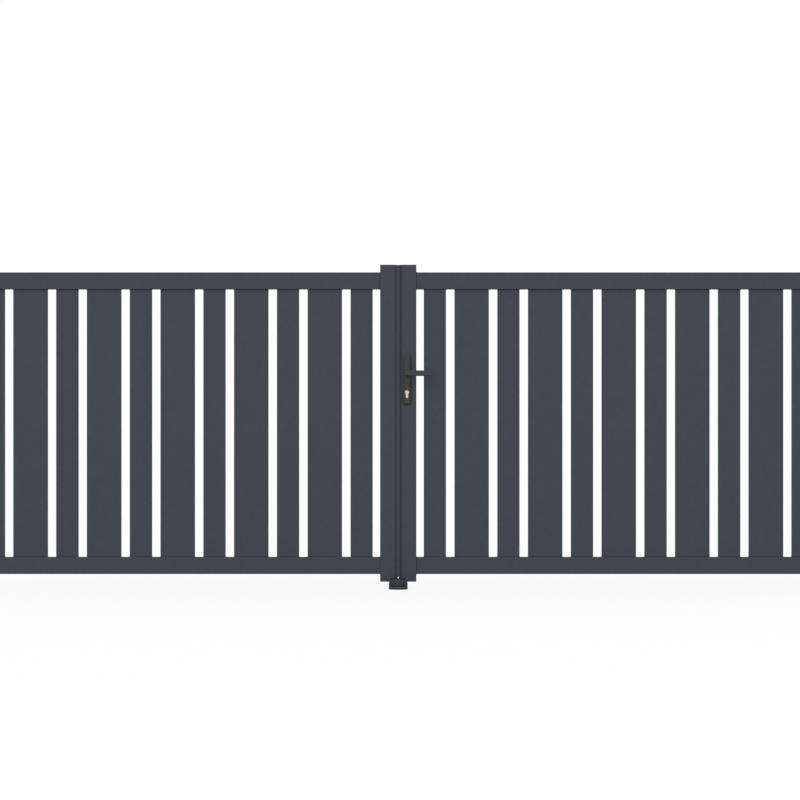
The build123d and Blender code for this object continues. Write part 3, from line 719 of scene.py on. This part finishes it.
def rounded_path(width, height, corner, step):
    """Points, outward directions and lengths: a quarter turn at each corner, then even steps along a side."""
    turn = np.linspace(0, np.pi / 2, CORNER_POINTS)
    half = np.array([width, height]) / 2 - corner
    points, outward = [], []
    for quarter, sign in enumerate(np.array([[1, 1], [-1, 1], [-1, -1], [1, -1]])):
        angle = turn + quarter * np.pi / 2
        out = np.stack([np.cos(angle), np.sin(angle)], axis=1)
        side = 2 * half[quarter % 2]
        steps = max(int(side / step), 1)
        forward = np.array([-np.sin(angle[-1]), np.cos(angle[-1])])
        along = np.arange(1, steps)[:, None] / steps * side * forward
        points += [half * sign + corner * out, half * sign + corner * out[-1] + along]
        outward += [out, np.broadcast_to(out[-1], along.shape)]
    points, outward = np.vstack(points), np.vstack(outward)
    gaps = np.linalg.norm(np.roll(points, -1, axis=0) - points, axis=1)
    return points, outward, np.cumsum(gaps) - gaps


def swept(points, outward, reach, rise):
    """Surface of a section along a closed path: path plus outward times reach, at the height of the rise."""
    flat = points[:, None, :] + outward[:, None, :] * reach[..., None]
    grid = np.concatenate([flat, rise[..., None]], axis=-1)
    return grid.reshape(-1, 3), grid_faces(*reach.shape, ring=True)


def weld_bead(width, corner):
    """Fillet from plate to post, bulged by a sine and scaled by drops that lag in the bead's middle."""
    points, outward, length = rounded_path(width, width, corner, BEAD_STEP)
    share = np.linspace(0, 1, BEAD_ROWS)[None, :]
    bulge = BEAD_BULGE * np.sin(np.pi * share)
    total = length[-1] + BEAD_STEP
    drops = length[:, None] / total * round(total / DROP_LENGTH) + DROP_LAG * np.sin(np.pi * share)
    size = BEAD_LEG * (1 + DROP_HEIGHT * np.abs(np.sin(np.pi * drops)))
    reach = size * (1 - share + bulge)
    rise = size * (share + bulge)
    root = np.full((len(points), 1), ROOT)
    return swept(points, outward, np.hstack([reach, root]), np.hstack([rise, root]))


post_low, post_high = corners("left_post")
bead = weld_bead(post_high[0] - post_low[0], POST_CORNER)
foot_places = []
for side in ("left", "right"):
    low, high = corners(f"{side}_post")
    foot_places.append(((low[0] + high[0]) / 2, (low[1] + high[1]) / 2, low[2]))
foot_turns = [spun(0), spun(np.pi / 2)]
make_piece("post_welds", *copies(*bead, foot_places, foot_turns), powder_coat, "posts", "frame_paint")

# %% [markdown]
# ## Dark trims as painted shade where boards enter rails and rails meet stiles
#
# In the photograph a thin dark line follows every joint: each board where it goes into a rail, and each rail
# where it meets a stile. A dark rubber trim at each joint is painted shade: it stands in for the shade that
# falls in the corner where the parts meet. Each trim is a small quarter-round ring, so it is the same sweep
# as the weld with a smooth section. The boards' places are read from the CAD mesh, by looking for gaps
# between its points along the gate.

# %% Soft trims that paint the shade in the joints
TRIM_REACH = 1.4 * MM
TRIM_RISE = 2.0 * MM
TRIM_ROWS = 5
BOARD_CORNER = 1.5 * MM
BOARD_GAP = 90 * MM
RAIL_CORNER = 2.0 * MM
LONGER_THAN_A_SIDE = 1.0


def trim_ring(width, depth, corner):
    """Quarter round on a closed path: reach follows the cosine and rise the sine of a quarter turn."""
    points, outward, _ = rounded_path(width, depth, corner, LONGER_THAN_A_SIDE)
    quarter = np.linspace(0, np.pi / 2, TRIM_ROWS)
    reach = np.append(TRIM_REACH * np.cos(quarter), ROOT)
    rise = np.append(TRIM_RISE * np.sin(quarter), ROOT)
    shape = (len(points), len(reach))
    return swept(points, outward, np.broadcast_to(reach, shape), np.broadcast_to(rise, shape))


def spans_along_gate(node, least_gap):
    """Start and end along X of each solid in a node, split where no point lies for the least gap."""
    mesh = frame["nodes"][node].data
    coordinates = np.empty(len(mesh.vertices) * 3)
    mesh.vertices.foreach_get("co", coordinates)
    along = np.unique(coordinates[0::3].round(6))
    breaks = np.flatnonzero(np.diff(along) > least_gap)
    return np.stack([along[np.append(0, breaks + 1)], along[np.append(breaks, len(along) - 1)]], axis=1)


# Each trim below is painted shade: a dark ring where the corner of a joint would be in shade.
for side in ("left", "right"):
    top_low, top_high = corners(f"{side}_top_rail")
    bottom_low, bottom_high = corners(f"{side}_bottom_rail")
    for kind in ("wide", "narrow"):
        node = f"{side}_{kind}_boards"
        spans = spans_along_gate(node, BOARD_GAP)
        low, high = corners(node)
        ring = trim_ring(spans[0, 1] - spans[0, 0], high[1] - low[1], BOARD_CORNER)
        places = [((a + b) / 2, 0, z) for a, b in spans for z in (top_low[2], bottom_high[2])]
        turns = [facing((0, 0, -1)), facing((0, 0, 1))] * len(spans)
        make_piece(f"{side}_{kind}_board_shade_trims", *copies(*ring, places, turns), rubber, f"{side}_leaf",
                   "buffer_rubber")
    ring = trim_ring(top_high[1] - top_low[1], top_high[2] - top_low[2], RAIL_CORNER)
    rail_heights = [(top_low[2] + top_high[2]) / 2, (bottom_low[2] + bottom_high[2]) / 2]
    places = [(x, 0, z) for z in rail_heights for x in (top_low[0], top_high[0])]
    turns = [facing((1, 0, 0)), facing((-1, 0, 0))] * len(rail_heights)
    make_piece(f"{side}_rail_shade_trims", *copies(*ring, places, turns), rubber, f"{side}_leaf", "buffer_rubber")

# %% [markdown]
# ## The lip of the closing strip
#
# The photograph shows the closing strip reaching over the right stile, with no light between the leaves.
# Either leaf has to open alone, so the metal strip ends just short of the stile, and a soft lip on its edge
# covers the last millimetres. A real one bends when a leaf goes past. Its section is a tongue: it gets
# thinner towards its tip and leans back a little. The section is drawn out along the strip and closed at
# both ends.

# %% A tongue drawn out along the strip
LIP_REACH = 3.1 * MM
LIP_ROOT_HALF = 0.75 * MM
LIP_THINNING = 0.3 * MM
LIP_LEAN = 0.9 * MM
LIP_SINK = 0.2 * MM
LIP_BEHIND_FACE = 1.0 * MM
LIP_TIP_POWER = 8
LIP_ROWS = 12


def bar(section, length):
    """A closed section in X and Y drawn out along Z, with both ends closed on the section's middle."""
    middle = np.broadcast_to(section.mean(axis=0), section.shape)
    outline = np.stack([middle, section, section, middle])
    height = np.broadcast_to(np.array([0, 0, length, length])[:, None, None], outline.shape[:2] + (1,))
    return np.concatenate([outline, height], axis=-1).reshape(-1, 3), grid_faces(4, len(section))


strip_low, strip_high = corners("closing_strip")
share = np.linspace(0, 1, LIP_ROWS)
tongue_x = strip_high[0] - LIP_SINK + share * (LIP_REACH + LIP_SINK)
tongue_y = strip_low[1] + LIP_BEHIND_FACE + LIP_LEAN * share ** 2
half = (LIP_ROOT_HALF - LIP_THINNING * share) * np.sqrt(1 - share ** LIP_TIP_POWER)
front_side = np.stack([tongue_x, tongue_y - half], axis=1)
back_side = np.stack([tongue_x, tongue_y + half], axis=1)[-2::-1]
lip_points, lip_faces = bar(np.vstack([front_side, back_side]), strip_high[2] - strip_low[2])
lip_points = lip_points + [0, 0, strip_low[2]]
make_piece("closing_lip", lip_points, lip_faces, lip_rubber, "left_leaf", "buffer_rubber")

# %% [markdown]
# ## Bumpers between the leaves
#
# Below the closing strip the photograph shows only a tiny light hole between the leaves, narrower than the
# gap that the strip covers. A rubber button on each meeting stile narrows it and keeps the leaves from
# knocking together in the wind. A button is turned: a straight edge, and then a dome that is flat in the
# middle and falls off towards its rim, which the fourth power of the radius gives.

# %% Rubber buttons on the meeting stiles
BUMPER_RADIUS = 6.5
BUMPER_RISE = 2.4
BUMPER_EDGE = 0.6
BUMPER_SINK = 0.2
BUMPER_ROWS = 9
BUMPER_UP = 16 * MM
BUMPER_BACK = 19 * MM

dome = np.linspace(1, 0, BUMPER_ROWS)
dome_height = BUMPER_EDGE + (BUMPER_RISE - BUMPER_EDGE) * np.sqrt(1 - dome ** 4)
bumper = turned([(0, -BUMPER_SINK), (BUMPER_RADIUS, -BUMPER_SINK), *zip(BUMPER_RADIUS * dome, dome_height)])
for side, edge, towards in (("left", left_stile_high[0], 1), ("right", right_stile_low[0], -1)):
    place = (edge, left_stile_low[1] + BUMPER_BACK, leaf_bottom + BUMPER_UP)
    make_piece(f"{side}_bumper", *copies(*bumper, [place], [facing((towards, 0, 0))]), rubber, f"{side}_leaf",
               "buffer_rubber")

# %% [markdown]
# ## Small parts of the lock
#
# A plastic bush guides each lever's neck in its plate, and ribs in the keyway, called wards, let only the
# right key in. The bush is a turned ring, and a ward is a short bar with sloping sides.

# %% Bushes round the lever necks
BUSH_SECTION = [(10.2, -0.5), (10.9, -0.5), (10.9, 0.6), (10.75, 1.1), (10.4, 1.3), (10.2, 1.1)]

lever_low, lever_high = corners("lever_spindle")
lever_z = (lever_low[2] + lever_high[2]) / 2
front_plate_face = corners("front_handle_plate")[0][1]
bush = turned(BUSH_SECTION, ring=True)
bush_places = [(lever_x, front_plate_face, lever_z), (lever_x, plate_high[1], lever_z)]
bush_turns = [facing((0, -1, 0)), facing((0, 1, 0))]
make_piece("neck_bushes", *copies(*bush, bush_places, bush_turns), moulded_cap, "right_leaf", "cap_plastic")

# %% Wards in the keyways
WARD_LENGTH = 12.5 * MM
WARD_INSET = 0.9 * MM
PLUG_FROM_TOP = 8.5 * MM

cylinder_low, cylinder_high = corners("key_cylinder")
plug_z = cylinder_high[2] - PLUG_FROM_TOP
upper_ward = np.array([(1.25, 0.9), (0.35, 1.3), (0.35, 2.0), (1.25, 2.4)]) * MM
lower_ward = np.array([(-1.25, -2.4), (-1.25, -0.8), (-0.25, -1.2), (-0.25, -2.0)]) * MM
ward_places = [(lever_x, y, plug_z) for y in (cylinder_low[1] + WARD_INSET, cylinder_high[1] - WARD_INSET)]
ward_turns = [facing((0, 1, 0)), facing((0, -1, 0))]
wards = joined((0, bar(upper_ward, WARD_LENGTH)), (0, bar(lower_ward, WARD_LENGTH)))
make_piece("keyway_wards", *copies(*wards, ward_places, ward_turns), brass, "right_leaf", "cylinder_brass")

# %% [markdown]
# ## The size of the dressed gate
#
# None of the pieces above reaches further out than the CAD model, so the box round everything should still be
# the CAD box. The last line works out that box.

low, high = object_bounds()
